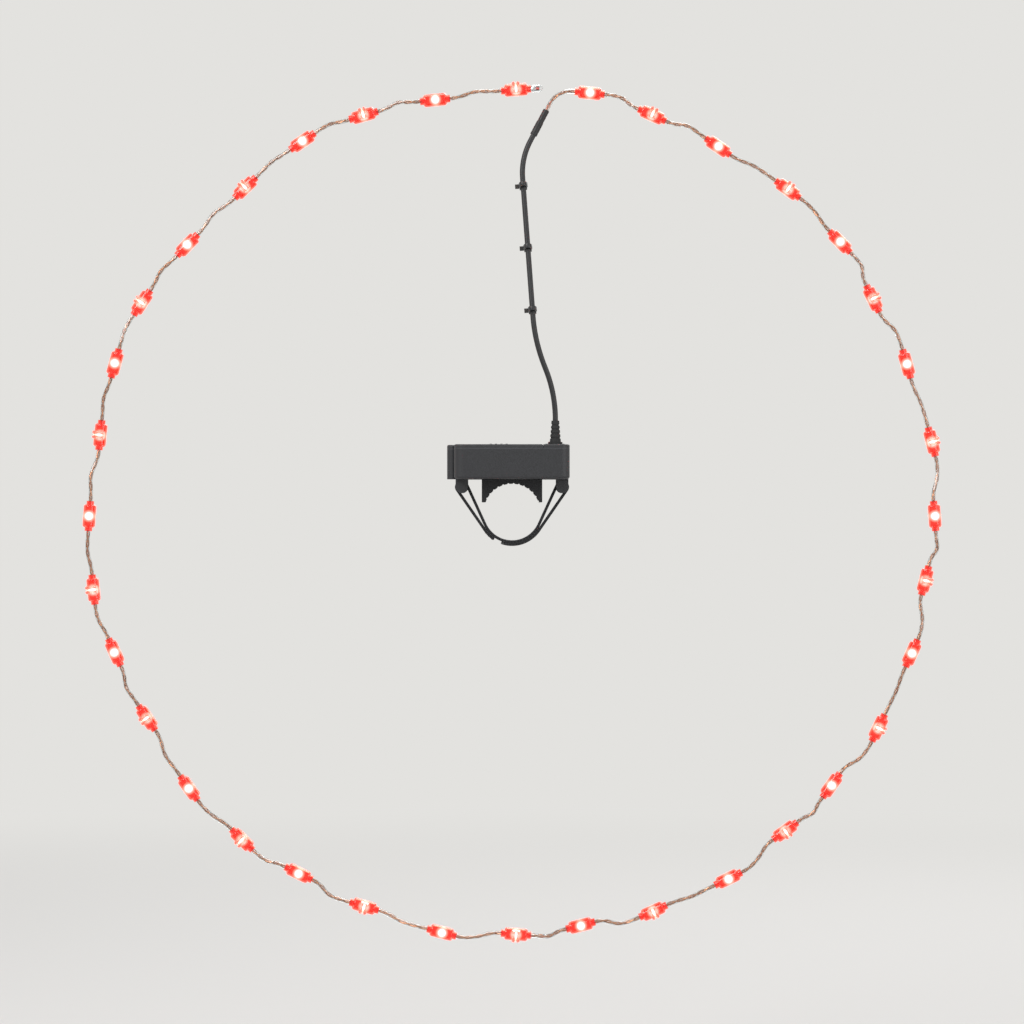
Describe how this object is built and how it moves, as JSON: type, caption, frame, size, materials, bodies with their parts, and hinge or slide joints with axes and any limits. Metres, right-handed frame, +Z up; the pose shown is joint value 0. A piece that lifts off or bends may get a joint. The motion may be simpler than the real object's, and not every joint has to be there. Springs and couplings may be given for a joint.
{
  "type": "spoke wheel light",
  "caption": "Ring of 36 lamp capsules on a clear string, each clipped on a bicycle wheel's spoke, with a lead down one spoke to a battery case strapped on the hub.",
  "frame": {"origin": "centre of the wheel: the middle of the hub's axis, where the strap and the pad hold the hub", "axes": "+Y along the wheel's axle, from the bicycle's left side to its right; the ring of lamps lies in the XZ plane; +Z up, towards the battery case and the lead"},
  "size_m": [0.4866, 0.059, 0.4866],
  "materials": {
    "lens_clear_red": "clear moulded capsule, tinted red and lit from inside",
    "led_board": "white solder-masked board",
    "led_chip": "lit chip under clear resin",
    "clear_pvc": "clear extruded tube",
    "tinned_copper": "fine stranded copper",
    "end_cap_clear": "clear moulded cap",
    "heat_shrink": "satin shrunk sleeve",
    "lead_jacket": "black extruded jacket",
    "tie_nylon": "black moulded nylon",
    "case_abs": "black moulded plastic with a fine spark texture",
    "door_abs": "black moulded plastic with a fine spark texture",
    "seal_silicone": "grey silicone",
    "screw_steel": "plated steel",
    "cell_sleeve": "plain shrink-wrapped cell",
    "contact_nickel": "nickel-plated sheet",
    "spring_steel": "nickel-plated spring wire",
    "circuit_board_green": "green solder mask",
    "chip_epoxy": "moulded epoxy",
    "switch_plastic": "moulded switch body",
    "button_rubber": "red silicone cap",
    "gland_rubber": "black soft rubber",
    "pad_rubber": "black ribbed rubber",
    "strap_webbing": "black woven hook-and-loop strap"
  },
  "bodies": {
    "case": {"led_lens_01": "lens_clear_red", "led_lens_02": "lens_clear_red", "led_lens_03": "lens_clear_red", "led_lens_04": "lens_clear_red", "led_lens_05": "lens_clear_red", "led_lens_06": "lens_clear_red", "led_lens_07": "lens_clear_red", "led_lens_08": "lens_clear_red", "led_lens_09": "lens_clear_red", "led_lens_10": "lens_clear_red", "led_lens_11": "lens_clear_red", "led_lens_12": "lens_clear_red", "led_lens_13": "lens_clear_red", "led_lens_14": "lens_clear_red", "led_lens_15": "lens_clear_red", "led_lens_16": "lens_clear_red", "led_lens_17": "lens_clear_red", "led_lens_18": "lens_clear_red", "led_lens_19": "lens_clear_red", "led_lens_20": "lens_clear_red", "led_lens_21": "lens_clear_red", "led_lens_22": "lens_clear_red", "led_lens_23": "lens_clear_red", "led_lens_24": "lens_clear_red", "led_lens_25": "lens_clear_red", "led_lens_26": "lens_clear_red", "led_lens_27": "lens_clear_red", "led_lens_28": "lens_clear_red", "led_lens_29": "lens_clear_red", "led_lens_30": "lens_clear_red", "led_lens_31": "lens_clear_red", "led_lens_32": "lens_clear_red", "led_lens_33": "lens_clear_red", "led_lens_34": "lens_clear_red", "led_lens_35": "lens_clear_red", "led_lens_36": "lens_clear_red", "led_boards": "led_board", "led_chips": "led_chip", "string_tube": "clear_pvc", "string_wires": "tinned_copper", "string_end_cap": "end_cap_clear", "splice_sleeve": "heat_shrink", "lead_cable": "lead_jacket", "lead_ties": "tie_nylon", "case_tray": "case_abs", "case_deck": "case_abs", "cells": "cell_sleeve", "contact_plates": "contact_nickel", "contact_springs": "spring_steel", "circuit_board": "circuit_board_green", "controller_chip": "chip_epoxy", "switch_body": "switch_plastic", "cable_gland": "gland_rubber", "hub_pad": "pad_rubber", "hub_strap": "strap_webbing"},
    "door": {"battery_door": "door_abs", "door_seal": "seal_silicone"},
    "left_screw": {"door_screw_left": "screw_steel"},
    "right_screw": {"door_screw_right": "screw_steel"},
    "button": {"power_button": "button_rubber"}
  },
  "joints": [
    {"name": "door_lift", "type": "slide", "parent": "case", "child": "door", "axis": [0, 0, 1], "range_m": [0, 0.03]},
    {"name": "left_screw_turn", "type": "hinge", "parent": "door", "child": "left_screw", "pos_m": [-0.03355, 0, 0.038], "axis": [0, 0, 1], "continuous": true},
    {"name": "right_screw_turn", "type": "hinge", "parent": "door", "child": "right_screw", "pos_m": [0.01855, 0.02006, 0.038], "axis": [0, 0, 1], "continuous": true},
    {"name": "button_press", "type": "slide", "parent": "case", "child": "button", "axis": [0, 0, -1], "range_m": [0, 0.0008], "stiffness_N_per_m": 1500}
  ]
}
